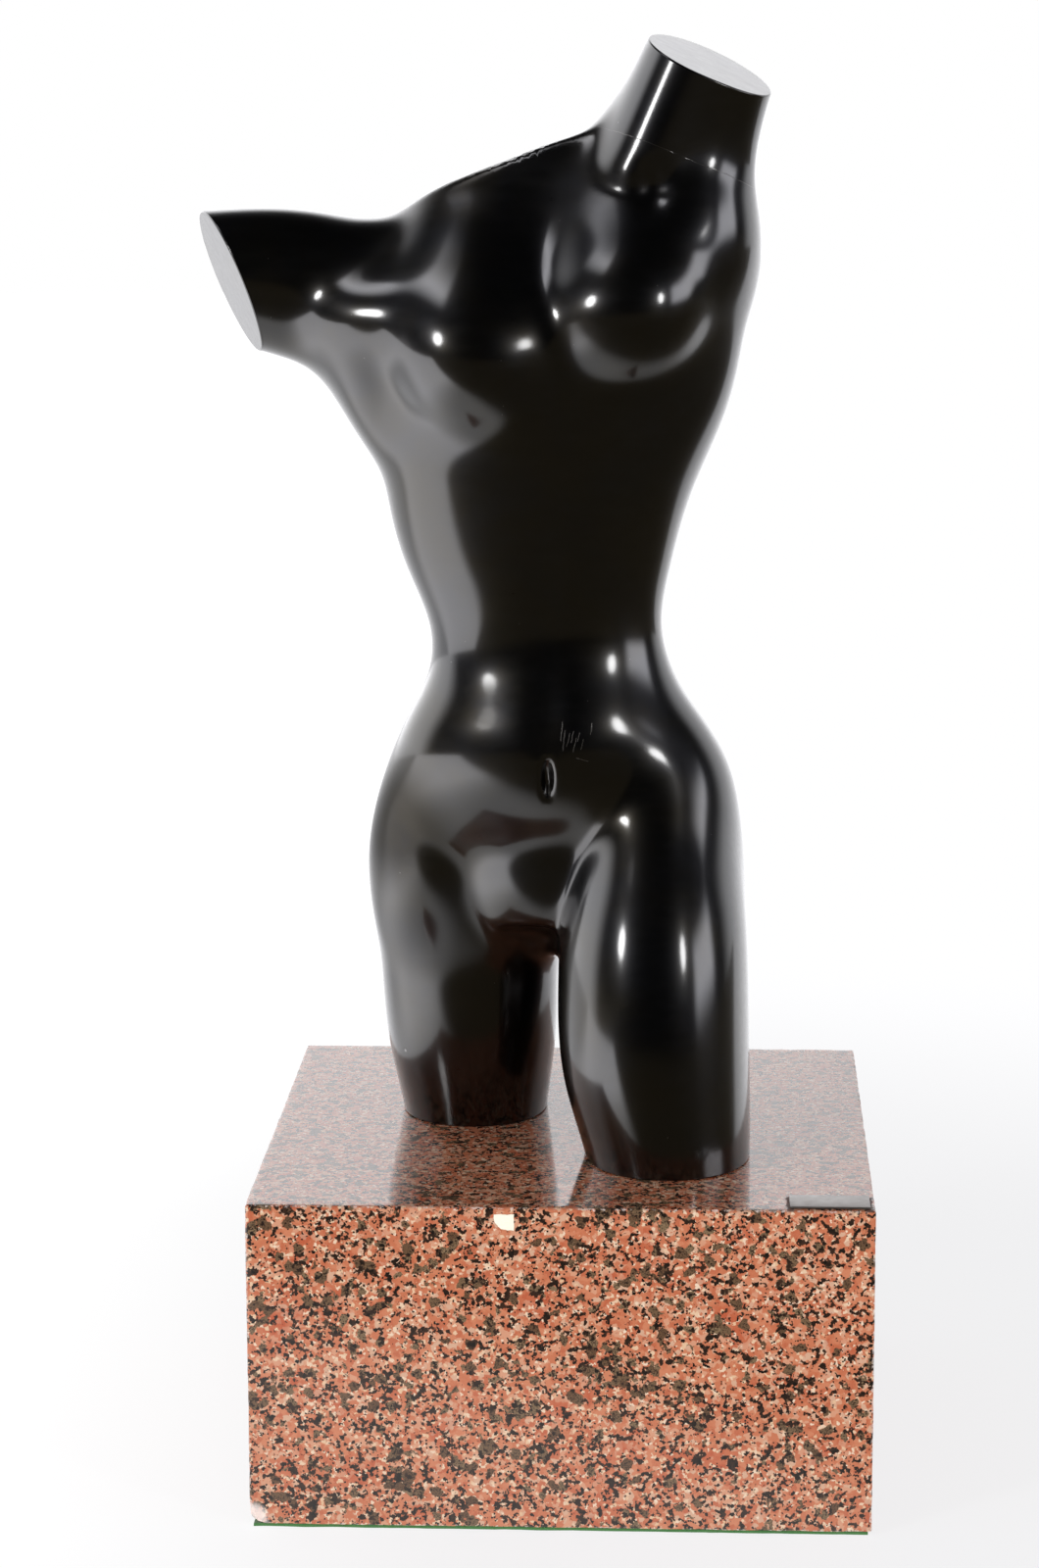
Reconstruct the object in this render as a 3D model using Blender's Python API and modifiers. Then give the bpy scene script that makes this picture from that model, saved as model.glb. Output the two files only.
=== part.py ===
"""A polished bronze torso standing on a granite block, in metres, +Z up.

The origin is the centre of the block's underside, at the bottom of its felt pad. The figure faces -Y.
The torso is blocked out in plain solids, fused, and drawn onto one smooth carved form that the tables
below describe. The tables give the figure in millimetres, at TABLE_HEIGHT tall, from the top of the block.
"""

import bmesh
import bpy
import numpy as np
from mathutils import Matrix, Vector

FIGURE_HEIGHT = 0.732
PLINTH_WIDTH = 0.400
PLINTH_DEPTH = 0.400
PLINTH_HEIGHT = 0.214
PLINTH_ARRIS = 0.0018
FELT_THICKNESS = 0.002
FELT_INSET = 0.0012
PLATE_LENGTH = 0.051
PLATE_WIDTH = 0.026
PLATE_THICKNESS = 0.0014
PLATE_EDGE_MARGIN = 0.0035
REST_GAP = 0.0003

TABLE_HEIGHT = 732.0
MM = FIGURE_HEIGHT / TABLE_HEIGHT
PLINTH_TOP = FELT_THICKNESS + REST_GAP + PLINTH_HEIGHT
FIGURE_BASE = PLINTH_TOP + REST_GAP

SKIN_STEP = 11.8
SETTLE_ROUNDS = 14
FINE_ROUNDS = 4
BLOCKOUT_SHARE = 0.86
BALL_SPACING = 12
BALL_SEGMENTS = 20
THINNEST_BALL = 12
LIMB_DISC = 18

# Height, centre x, half width, centre y, depth to the front, depth to the back.
TRUNK = (
    (80, -4, 112, 8, 34, 66),
    (140, -7.5, 121, 8, 37, 76),
    (180, -11, 123, 7, 44, 75),
    (221, -12, 118, 3, 56, 62),
    (262, -11, 105, -2, 61, 50),
    (300, -11.5, 86, -5, 56, 43),
    (341, -15.5, 77, -4, 51, 42),
    (381, -20.5, 87, -1, 56, 50),
    (433, -20, 101.5, 5, 66, 61),
    (485, -11, 114, 8, 71, 67),
    (540, -3, 118, 12, 68, 66),
    (600, 4, 116, 20, 55, 54),
    (680, 10, 108, 26, 36, 36),
)
TRUNK_ROUNDNESS = 2.25
THIGH_ROUNDNESS = 2.15

LEFT_THIGH = (
    (-40, -66, 46, 48, 57, 57),
    (0, -67, 49.5, 44, 60, 61),
    (48, -68.5, 57, 38, 62, 68),
    (110, -70, 60, 26, 52, 72),
    (170, -72, 59, 14, 44, 70),
    (230, -70, 48, 6, 36, 58),
)
RIGHT_THIGH = (
    (-40, 70, 50, -80, 57, 58),
    (0, 67, 54.5, -72, 67, 65),
    (48, 60, 61.5, -62, 76, 74),
    (110, 57, 63, -50, 80, 86),
    (170, 57, 59, -28, 80, 90),
    (215, 57, 49, -10, 70, 72),
    (270, 55, 36, 2, 50, 48),
)

# The arm runs from the chest out to -X. Distance, centre z, half height, centre y, depths.
ARM = (
    (60, 520, 96, 10, 50, 50),
    (110, 524, 88, 10, 50, 50),
    (142, 541, 70, 8, 48, 48),
    (160, 557, 57, 5, 42, 45),
    (190, 569, 48.5, 0, 38, 40),
    (230, 574, 43, -5, 37, 37),
    (290, 574, 38, -12, 34, 34),
)

# The neck's sections lie across its lean, and their distance is from the cut, downwards.
NECK = (
    (-60, 0, 38, 0, 37, 37),
    (0, 0, 42, 0, 37, 40),
    (32, 0, 47.5, 3, 39, 44),
    (70, 2, 58, 9, 44, 50),
    (120, 6, 74, 14, 48, 50),
    (180, 8, 60, 16, 40, 40),
)
NECK_CUT = ((93, -3, 709), (0.42, -0.21, 0.883))
NECK_LEAN = (0.41, -0.03, 0.912)

# Each limb is blocked out from inside the body to a stump past its cut, which the saw takes off again.
TRUNK_SPAN = (150, 600)
THIGH_START, ARM_START, NECK_START = 190, 100, 96
STUMP = 28
CUT_REACH = 2 * STUMP + LIMB_DISC + 12
RIGHT_ARM_BALLS = 8

# Where each limb ends inside the body, along it, and how softly.
NECK_ROOT = (150, 40)
ARM_ROOT = (-70, 30)
LEFT_THIGH_ROOT = (215, 60)
RIGHT_THIGH_ROOT = (252, 40)
LIMB_BLEND = 24
BETWEEN_THIGHS = 8

ARM_CUT = ((-222, -6, 570), (-0.88, -0.33, -0.35))
SHOULDER_CUT = ((81, 104, 584), (0.08, 0.975, -0.2))

# Slopes that close the trunk: toward the arm, toward the raised shoulder, and below. Place, normal, blend.
TRUNK_ENDS = (
    ((-46, -28, 652), (-0.371, 0.30, 0.928), 12),
    ((20, 0, 672), (0.5, 0.0, 0.866), 40),
    ((0, 0, 118), (0, 0, -1), 50),
)

# Centre, radii, blend, tilt toward +X and lean backwards in degrees of each mass added to the limbs.
MASSES = {
    "breast_left": ((-57, -40, 528), (54, 40, 49), 40, -10, 25),
    "breast_left_slope": ((-62, -31, 566), (46, 27, 64), 36, 0, 34),
    "breast_right": ((37, -41, 555), (50, 40, 45), 40, 14, 25),
    "breast_right_slope": ((40, -27, 594), (42, 27, 54), 36, 10, 34),
    "chest_to_arm": ((-108, -20, 546), (56, 36, 34), 30, 0, 0),
    "chest_to_shoulder": ((82, -10, 596), (36, 36, 52), 36, 0, 0),
    "belly": ((-6, -30, 266), (62, 42, 46), 40, 0, 0),
    "low_belly": ((-30, -20, 246), (76, 44, 52), 34, -24, 0),
    "hip_left": ((-92, 2, 186), (36, 37, 60), 16, 0, 0),
    "hip_right": ((60, -16, 214), (46, 48, 72), 36, 0, 0),
    "buttock_left": ((-58, 56, 142), (58, 46, 60), 26, 0, 0),
    "buttock_right": ((52, 44, 156), (58, 46, 60), 26, 0, 0),
    "shoulder_blade_left": ((-66, 44, 548), (46, 34, 52), 36, 0, 0),
    "shoulder_blade_right": ((56, 50, 560), (44, 34, 50), 36, 0, 0),
    "drawn_back_shoulder": ((75, 46, 604), (42, 62, 43), 30, 0, 0),
}
RIGHT_ARM = ((76, 50, 602), (84, 140, 572), 38, 30)
NECK_FRONT = ((78, -9, 706), (50, -11, 640), 33, 10)
MONS = ((-16, -30, 180), (44, 26, 50), 20)
MONS_LEDGE = ((-22, -56, 150), (0.0, -0.25, -0.97))
LEDGE_BLEND = 5
SPINE = ((-14, 62, 245), (8, 80, 600), 15, 7)
CLEFT = ((-6, 96, 40), (-6, 90, 215), 10, 18)
BELLY_LINE = ((-13, -78, 262), (-12, -62, 400), 12, 2.5)

# Centre, radii and blend of the hollows that are sunk into the skin.
HOLLOWS = {
    "navel": ((-12, -79, 250), (4.5, 10, 16), 5),
    "neck_pit": ((55, -56, 634), (8, 14, 12), 18),
}
FINE_PLACES = (((-12, -68, 249), 24), ((-22, -60, 149), 42))


def smooth_curve(stations):
    """A natural cubic spline through rows of (position, values...), as a function of position."""
    table = np.array(stations, float)
    knots, values = table[:, 0], table[:, 1:]
    gap = np.diff(knots)[:, None]
    slope = np.diff(values, axis=0) / gap
    count = len(knots)
    system = np.eye(count)
    right = np.zeros_like(values)
    for i in range(1, count - 1):
        system[i, i - 1 : i + 2] = gap[i - 1, 0], 2 * (gap[i - 1, 0] + gap[i, 0]), gap[i, 0]
        right[i] = 6 * (slope[i] - slope[i - 1])
    bend = np.linalg.solve(system, right)

    def at(position):
        place = np.clip(position, knots[0], knots[-1])
        i = np.clip(np.searchsorted(knots, place) - 1, 0, count - 2)
        width = gap[i]
        low = (knots[i + 1] - place)[:, None] / width
        high = 1 - low
        curve = (low**3 - low) * bend[i] + (high**3 - high) * bend[i + 1]
        return low * values[i] + high * values[i + 1] + curve * width**2 / 6

    return at


def smooth_union(a, b, blend):
    near = np.maximum(blend - np.abs(a - b), 0) / blend
    return np.minimum(a, b) - near**3 * blend / 6


def smooth_overlap(a, b, blend):
    return -smooth_union(-a, -b, blend)


def plane_distance(points, plane):
    place, normal = (np.array(v, float) for v in plane)
    return (points - place) @ (normal / np.linalg.norm(normal))


def tube_distance(along, across, depth, curve, roundness=2.0):
    """Distance to a limb whose section at each place along it is a rounded oval."""
    centre, half, middle, front, back = curve(along).T
    u = (across - centre) / half
    v_radius = np.where(depth < middle, front, back)
    v = (depth - middle) / v_radius
    reach = np.maximum((np.abs(u) ** roundness + np.abs(v) ** roundness) ** (1 / roundness), 0.05)
    steep = np.hypot(np.abs(u) ** (roundness - 1) / half, np.abs(v) ** (roundness - 1) / v_radius)
    return (reach - 1) * reach ** (roundness - 1) / np.maximum(steep, 1e-4)


def mass_distance(points, centre, radii, sideways=0.0, backwards=0.0):
    """Distance to an egg-shaped mass, tilted in degrees so that its +X side rises and its top leans back."""
    turned = Matrix.Rotation(np.radians(-sideways), 3, "Y") @ Matrix.Rotation(np.radians(-backwards), 3, "X")
    from_centre = (points - np.array(centre, float)) @ np.array(turned)
    radii = np.array(radii, float)
    near = np.linalg.norm(from_centre / radii, axis=1)
    slope = np.linalg.norm(from_centre / radii**2, axis=1)
    return near * (near - 1) / np.maximum(slope, 1e-6)


def away_from_line(points, start, end):
    """How far points are from a straight line's nearest place, and what share of its length that is at."""
    start, end = np.array(start, float), np.array(end, float)
    line = end - start
    share = np.clip((points - start) @ line / (line @ line), 0, 1)
    return np.linalg.norm(points - start - share[:, None] * line, axis=1), share


def furrow(points, start, end, width):
    """How much of a furrow's depth is taken at each point: 1 along its line, 0 well away from it."""
    away, share = away_from_line(points, start, end)
    return np.exp(-((away / width) ** 2)) * np.sin(np.pi * np.clip(share, 0.02, 0.98)) ** 0.5


def limb_end(limb, along, end, blend):
    """Closes a limb inside the body, where its distance along passes its end."""
    return smooth_overlap(limb, along - end, blend)


def neck_axes():
    """The neck's lean, and the direction across it in the figure's front plane."""
    lean = np.array(NECK_LEAN) / np.linalg.norm(NECK_LEAN)
    across = np.cross(np.array((0.0, 1.0, 0.0)), lean)
    across /= np.linalg.norm(across)
    return lean, across, np.cross(lean, across)


TRUNK_CURVE = smooth_curve(TRUNK)
LEFT_THIGH_CURVE = smooth_curve(LEFT_THIGH)
RIGHT_THIGH_CURVE = smooth_curve(RIGHT_THIGH)
ARM_CURVE = smooth_curve(ARM)
NECK_CURVE = smooth_curve(NECK)


def carved_form(points):
    """Signed distance from the figure's surface at points in millimetres, negative inside."""
    x, y, z = points.T
    form = tube_distance(z, x, y, TRUNK_CURVE, TRUNK_ROUNDNESS)
    for place, normal, blend in TRUNK_ENDS:
        form = smooth_overlap(form, plane_distance(points, (place, normal)), blend)

    neck_end, _ = NECK_CUT
    lean, across, depth = neck_axes()
    from_cut = points - np.array(neck_end, float)
    down_neck = -from_cut @ lean
    neck = tube_distance(down_neck, from_cut @ across, from_cut @ depth, NECK_CURVE)
    form = smooth_union(form, limb_end(neck, down_neck, *NECK_ROOT), LIMB_BLEND)
    arm = tube_distance(-x, z, y, ARM_CURVE)
    form = smooth_union(form, limb_end(arm, x, *ARM_ROOT), LIMB_BLEND)
    left = limb_end(tube_distance(z, x, y, LEFT_THIGH_CURVE, THIGH_ROUNDNESS), z, *LEFT_THIGH_ROOT)
    right = limb_end(tube_distance(z, x, y, RIGHT_THIGH_CURVE, THIGH_ROUNDNESS), z, *RIGHT_THIGH_ROOT)
    form = smooth_union(form, smooth_union(left, right, BETWEEN_THIGHS), LIMB_BLEND)

    for centre, radii, blend, sideways, backwards in MASSES.values():
        form = smooth_union(form, mass_distance(points, centre, radii, sideways, backwards), blend)
    for start, end, radius, blend in (RIGHT_ARM, NECK_FRONT):
        form = smooth_union(form, away_from_line(points, start, end)[0] - radius, blend)
    centre, radii, blend = MONS
    mons = mass_distance(points, centre, radii)
    mons = smooth_overlap(mons, plane_distance(points, MONS_LEDGE), LEDGE_BLEND)
    form = smooth_union(form, mons, blend)
    for start, end, width, depth in (SPINE, CLEFT, BELLY_LINE):
        form = form + depth * furrow(points, start, end, width)
    for centre, radii, blend in HOLLOWS.values():
        form = smooth_overlap(form, -mass_distance(points, centre, radii), blend)
    return form


def settle(bm, form, step, rounds):
    """Draws every vertex onto the form along its slope, and evens the faces out between the rounds."""
    for turn in range(round(rounds)):
        if turn < rounds - 3:
            bmesh.ops.smooth_vert(
                bm, verts=bm.verts, factor=0.5, use_axis_x=True, use_axis_y=True, use_axis_z=True
            )
        points = np.array([v.co for v in bm.verts])
        distance = form(points)
        reach = 0.02 * step
        slope = np.stack(
            [(form(points + reach * side) - form(points - reach * side)) / (2 * reach) for side in np.eye(3)],
            axis=1,
        )
        steepness = np.maximum((slope**2).sum(axis=1), 0.05)
        move = -slope * (distance / steepness)[:, None]
        length = np.linalg.norm(move, axis=1)
        move *= np.minimum(1, step / np.maximum(length, 1e-9))[:, None]
        for vertex, shift in zip(bm.verts, move):
            vertex.co += Vector(shift)


def add_ball(bm, ball, centre, radii):
    first = len(bm.verts)
    bm.from_mesh(ball)
    bm.verts.ensure_lookup_table()
    place = Matrix.Translation(Vector(centre)) @ Matrix.Diagonal((*radii, 1.0))
    bmesh.ops.transform(bm, matrix=place, verts=bm.verts[first:])


def add_limb(bm, ball, curve, low, high, place_of):
    """Overlapping flattened balls along a limb, a little slimmer than its sections."""
    for at in np.linspace(low, high, int((high - low) / BALL_SPACING) + 1):
        centre, half, middle, front, back = curve(np.array([at]))[0]
        share = BLOCKOUT_SHARE
        where, radii = place_of(at, centre, middle, half * share, (front + back) / 2 * share)
        add_ball(bm, ball, where, [max(r, THINNEST_BALL) for r in radii])


def blocked_out():
    """The torso in plain overlapping solids, in millimetres, fused by a voxel remesh."""
    ball = bpy.data.meshes.new("ball")
    bm = bmesh.new()
    bmesh.ops.create_uvsphere(bm, u_segments=BALL_SEGMENTS, v_segments=BALL_SEGMENTS // 2, radius=1.0)
    bm.to_mesh(ball)
    bm.clear()

    def upright(at, centre, middle, half, deep):
        return (centre, middle, at), (half, deep, LIMB_DISC)

    def sideways(at, centre, middle, half, deep):
        return (-at, middle, centre), (LIMB_DISC, deep, half)

    def leaning(at, centre, middle, half, deep):
        lean, across, depth = neck_axes()
        where = np.array(NECK_CUT[0]) - at * lean + centre * across + middle * depth
        return where, (min(half, deep),) * 3

    add_limb(bm, ball, TRUNK_CURVE, *TRUNK_SPAN, upright)
    add_limb(bm, ball, LEFT_THIGH_CURVE, -STUMP, THIGH_START, upright)
    add_limb(bm, ball, RIGHT_THIGH_CURVE, -STUMP, THIGH_START, upright)
    add_limb(bm, ball, ARM_CURVE, ARM_START, 2 * STUMP - ARM_CUT[0][0], sideways)
    add_limb(bm, ball, NECK_CURVE, -STUMP, NECK_START, leaning)
    start, end, radius, _ = RIGHT_ARM
    for share in np.linspace(0, 1, RIGHT_ARM_BALLS):
        add_ball(bm, ball, Vector(start).lerp(Vector(end), share), [BLOCKOUT_SHARE * radius] * 3)
    for centre, radii, _, _, _ in MASSES.values():
        add_ball(bm, ball, centre, [BLOCKOUT_SHARE * r for r in radii])
    mesh = bpy.data.meshes.new("blockout")
    bm.to_mesh(mesh)
    bm.free()

    blocks = bpy.data.objects.new("blockout", mesh)
    bpy.context.scene.collection.objects.link(blocks)
    fuse = blocks.modifiers.new("fuse", "REMESH")
    fuse.mode = "VOXEL"
    fuse.voxel_size = SKIN_STEP
    graph = bpy.context.evaluated_depsgraph_get()
    fused = bpy.data.meshes.new_from_object(blocks.evaluated_get(graph))
    bpy.data.objects.remove(blocks)
    return fused


def refine(bm, place, reach):
    """Halves the edges near a place, for carving finer than the rest of the skin."""
    middles = {e: (e.verts[0].co + e.verts[1].co) / 2 for e in bm.edges}
    near = [e for e, middle in middles.items() if (middle - Vector(place)).length < reach]
    bmesh.ops.subdivide_edges(bm, edges=near, cuts=1, use_grid_fill=True)


def saw_off(bm, place, normal, reach):
    """Cuts a limb off flat on the normal's side of a plane, within reach of the cut's centre."""
    faces = [f for f in bm.faces if (f.calc_center_median() - Vector(place)).length < reach]
    edges = {e for f in faces for e in f.edges}
    verts = {v for f in faces for v in f.verts}
    cut = bmesh.ops.bisect_plane(
        bm,
        geom=[*verts, *edges, *faces],
        dist=0.01,
        plane_co=Vector(place),
        plane_no=Vector(normal).normalized(),
        clear_outer=True,
    )
    rim = [e for e in cut["geom_cut"] if isinstance(e, bmesh.types.BMEdge)]
    bmesh.ops.edgeloop_fill(bm, edges=rim)


def finish_object(name, mesh, material, collection, smooth_angle=40.0):
    mesh.materials.append(material)
    mesh.shade_smooth()
    mesh.set_sharp_from_angle(angle=np.radians(smooth_angle))
    obj = bpy.data.objects.new(name, mesh)
    collection.objects.link(obj)
    return obj


def plain_material(name, colour, roughness, metallic=0.0):
    material = bpy.data.materials.new(name)
    material.use_nodes = True
    shader = material.node_tree.nodes["Principled BSDF"]
    shader.inputs["Base Color"].default_value = (*colour, 1.0)
    shader.inputs["Roughness"].default_value = roughness
    shader.inputs["Metallic"].default_value = metallic
    return material


def make_torso(collection, material):
    bm = bmesh.new()
    bm.from_mesh(blocked_out())
    settle(bm, carved_form, SKIN_STEP, SETTLE_ROUNDS)
    for place, reach in FINE_PLACES:
        refine(bm, place, reach)
    settle(bm, carved_form, SKIN_STEP / 2, FINE_ROUNDS)
    for place, normal in (NECK_CUT, ARM_CUT, SHOULDER_CUT):
        saw_off(bm, place, normal, CUT_REACH)
    saw_off(bm, (0, 0, 0), (0, 0, -1), TABLE_HEIGHT)
    bmesh.ops.dissolve_degenerate(bm, dist=0.5, edges=bm.edges[:])
    bmesh.ops.triangulate(bm, faces=[f for f in bm.faces if len(f.verts) > 4])
    bmesh.ops.recalc_face_normals(bm, faces=bm.faces[:])
    bmesh.ops.transform(bm, matrix=Matrix.Scale(MM, 4), verts=bm.verts[:])
    mesh = bpy.data.meshes.new("torso")
    bm.to_mesh(mesh)
    bm.free()
    torso = finish_object("torso", mesh, material, collection)
    torso.location.z = FIGURE_BASE
    return torso


def slab(name, size, bottom, material, collection, arris=0.0):
    """A rectangular block with its underside centred at bottom."""
    bm = bmesh.new()
    bmesh.ops.create_cube(bm, size=1.0, matrix=Matrix.Diagonal((*size, 1.0)))
    mesh = bpy.data.meshes.new(name)
    bm.to_mesh(mesh)
    bm.free()
    obj = finish_object(name, mesh, material, collection)
    obj.location = Vector(bottom) + Vector((0, 0, size[2] / 2))
    if arris:
        bevel = obj.modifiers.new("arris", "BEVEL")
        bevel.width = arris
        bevel.segments = 3
    return obj


def main():
    for obj in list(bpy.data.objects):
        bpy.data.objects.remove(obj)
    sculpture = bpy.data.collections.new("bronze torso sculpture")
    bpy.context.scene.collection.children.link(sculpture)

    bronze = plain_material("black patinated bronze", (0.012, 0.011, 0.010), 0.12, 0.6)
    granite = plain_material("red granite", (0.52, 0.22, 0.15), 0.18)
    felt = plain_material("green felt", (0.03, 0.16, 0.04), 0.95)
    plate = plain_material("grey plate", (0.36, 0.36, 0.35), 0.35, 0.9)

    felt_size = (PLINTH_WIDTH - 2 * FELT_INSET, PLINTH_DEPTH - 2 * FELT_INSET, FELT_THICKNESS)
    slab("felt_pad", felt_size, (0, 0, 0), felt, sculpture)
    plinth_size = (PLINTH_WIDTH, PLINTH_DEPTH, PLINTH_HEIGHT)
    slab("plinth", plinth_size, (0, 0, FELT_THICKNESS + REST_GAP), granite, sculpture, PLINTH_ARRIS)
    plate_x = PLINTH_WIDTH / 2 - PLATE_EDGE_MARGIN - PLATE_LENGTH / 2
    plate_y = -PLINTH_DEPTH / 2 + PLATE_EDGE_MARGIN + PLATE_WIDTH / 2
    plate_size = (PLATE_LENGTH, PLATE_WIDTH, PLATE_THICKNESS)
    slab("blank_plate", plate_size, (plate_x, plate_y, PLINTH_TOP + REST_GAP), plate, sculpture)
    make_torso(sculpture, bronze)


main()
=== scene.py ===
import bmesh
import bpy
import numpy as np
from mathutils import Matrix, Vector, noise


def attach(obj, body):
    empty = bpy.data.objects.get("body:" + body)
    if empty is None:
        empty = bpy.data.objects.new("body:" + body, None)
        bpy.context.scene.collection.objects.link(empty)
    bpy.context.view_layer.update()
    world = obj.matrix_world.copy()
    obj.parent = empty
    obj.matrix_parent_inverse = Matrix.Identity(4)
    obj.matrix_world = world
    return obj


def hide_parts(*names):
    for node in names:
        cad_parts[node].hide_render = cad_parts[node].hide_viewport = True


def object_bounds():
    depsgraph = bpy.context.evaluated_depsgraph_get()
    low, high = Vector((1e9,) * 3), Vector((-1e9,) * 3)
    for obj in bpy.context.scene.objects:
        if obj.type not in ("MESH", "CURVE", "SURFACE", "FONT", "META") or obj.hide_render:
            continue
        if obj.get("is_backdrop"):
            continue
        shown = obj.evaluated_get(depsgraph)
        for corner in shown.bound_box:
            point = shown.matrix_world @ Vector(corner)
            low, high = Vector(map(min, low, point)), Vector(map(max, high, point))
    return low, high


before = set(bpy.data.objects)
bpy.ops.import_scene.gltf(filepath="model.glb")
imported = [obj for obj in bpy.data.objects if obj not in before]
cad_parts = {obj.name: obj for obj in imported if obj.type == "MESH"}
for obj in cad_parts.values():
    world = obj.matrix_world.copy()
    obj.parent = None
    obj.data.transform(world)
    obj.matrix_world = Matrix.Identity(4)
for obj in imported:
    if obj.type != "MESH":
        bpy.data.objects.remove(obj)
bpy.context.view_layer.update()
scene = bpy.context.scene

# Camera
# It stands about 2.6 m in front of the figure, level with its shoulders and looking a little down, as
# the photograph was taken.
CAMERA_PLACE = (0.0915, -2.5817, 0.9490)
CAMERA_YAW, CAMERA_PITCH, CAMERA_ROLL = -0.0485, 0.1904, -0.0036

camera_data = bpy.data.cameras.new("camera")
camera_data.lens = 90.0
camera_data.sensor_width = 36.0
camera = bpy.data.objects.new("camera", camera_data)
scene.collection.objects.link(camera)
turn = (
    Matrix.Rotation(-CAMERA_YAW, 3, "Z")
    @ Matrix.Rotation(np.pi / 2 - CAMERA_PITCH, 3, "X")
    @ Matrix.Rotation(CAMERA_ROLL, 3, "Z")
)
camera.location = CAMERA_PLACE
camera.rotation_euler = turn.to_euler()
scene.camera = camera
scene.view_settings.view_transform = "Standard"

# Felt pad
# A sheet of green wool felt glued under the block so that it doesn't scratch what it stands on. Its cut
# edge shows as a thin, slightly uneven line with a few loose fibres.
BLOCK = 0.400
FELT_THICKNESS = 0.002
FELT_INSET = 0.0012
FELT_CUTS = 70
REST_GAP = 0.0003
FIBRES = 150
FIBRE_LENGTH = 0.0026


def add_node(tree, kind, inputs=None, **settings):
    """One shader node with its fields set, and its inputs filled with values or links."""
    node = tree.nodes.new(kind)
    for field, value in settings.items():
        setattr(node, field, value)
    for socket, value in (inputs or {}).items():
        if isinstance(value, bpy.types.NodeSocket):
            tree.links.new(value, node.inputs[socket])
        else:
            node.inputs[socket].default_value = value
    return node


def new_material(name):
    """A material, its tree, its shader, and its object coordinates in millimetres."""
    material = bpy.data.materials.new(name)
    material.use_nodes = True
    tree = material.node_tree
    shader = tree.nodes["Principled BSDF"]
    place = add_node(tree, "ShaderNodeTexCoord").outputs["Object"]
    scaled = add_node(tree, "ShaderNodeMapping", {"Vector": place, "Scale": (1000.0, 1000.0, 1000.0)})
    return material, tree, shader, scaled.outputs["Vector"]


def noise_at(tree, vector, size, detail=3.0, roughness=0.5):
    """Noise with features about size millimetres across."""
    inputs = {"Vector": vector, "Scale": 1.0 / size, "Detail": detail, "Roughness": roughness}
    return add_node(tree, "ShaderNodeTexNoise", inputs)


def math(tree, operation, *values):
    """One step of arithmetic on values or links."""
    node = add_node(tree, "ShaderNodeMath", dict(enumerate(values)), operation=operation)
    return node.outputs[0]


def fold(tree, operation, first, *others):
    """Joins several values by the same operation, from the left."""
    for other in others:
        first = math(tree, operation, first, other)
    return first


def band(tree, value, start, end):
    """Goes smoothly from 0 at start to 1 at end."""
    inputs = {"Value": value, "From Min": start, "From Max": end}
    return add_node(tree, "ShaderNodeMapRange", inputs, interpolation_type="SMOOTHSTEP").outputs["Result"]


def between(tree, value, low, high):
    """Turns a share from 0 to 1 into a number from low to high."""
    inputs = {"Value": value, "To Min": low, "To Max": high}
    return add_node(tree, "ShaderNodeMapRange", inputs).outputs["Result"]


def mix(tree, share, first, second):
    """The first colour where share is 0, and the second where it is 1."""
    node = add_node(tree, "ShaderNodeMix", data_type="RGBA")
    for socket, value in ((node.inputs[0], share), (node.inputs[6], first), (node.inputs[7], second)):
        if isinstance(value, bpy.types.NodeSocket):
            tree.links.new(value, socket)
        elif isinstance(value, tuple):
            socket.default_value = (*value, 1.0)
        else:
            socket.default_value = value
    return node.outputs[2]


def bump(tree, height, distance):
    """A bump whose height of 1 is distance metres."""
    return add_node(tree, "ShaderNodeBump", {"Height": height, "Distance": distance}).outputs["Normal"]


def connect(tree, shader, **links):
    """Links outputs to the shader's sockets, whose names are written with underscores."""
    for name, value in links.items():
        tree.links.new(value, shader.inputs[name.replace("_", " ")])


def finish_piece(name, bm, material, node, smooth=30.0):
    """Makes the object from its bmesh and has it ride on the frame in the CAD node's place."""
    mesh = bpy.data.meshes.new(name)
    bm.to_mesh(mesh)
    bm.free()
    mesh.materials.append(material)
    mesh.shade_smooth()
    mesh.set_sharp_from_angle(angle=np.radians(smooth))
    piece = bpy.data.objects.new(name, mesh)
    scene.collection.objects.link(piece)
    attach(piece, "root")
    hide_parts(node)
    return piece


felt, tree, shader, place = new_material("green wool felt")
fluff = noise_at(tree, place, 0.7, 5.0, 0.7).outputs["Fac"]
patches = noise_at(tree, place, 14.0, 2.0).outputs["Fac"]
wool = mix(tree, fluff, (0.012, 0.075, 0.018), (0.05, 0.24, 0.05))
wool = mix(tree, between(tree, patches, 0.0, 0.5), wool, (0.09, 0.20, 0.06))
connect(tree, shader, Base_Color=wool, Normal=bump(tree, fluff, 0.0004))
shader.inputs["Roughness"].default_value = 0.95
shader.inputs["Sheen Weight"].default_value = 0.4

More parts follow.
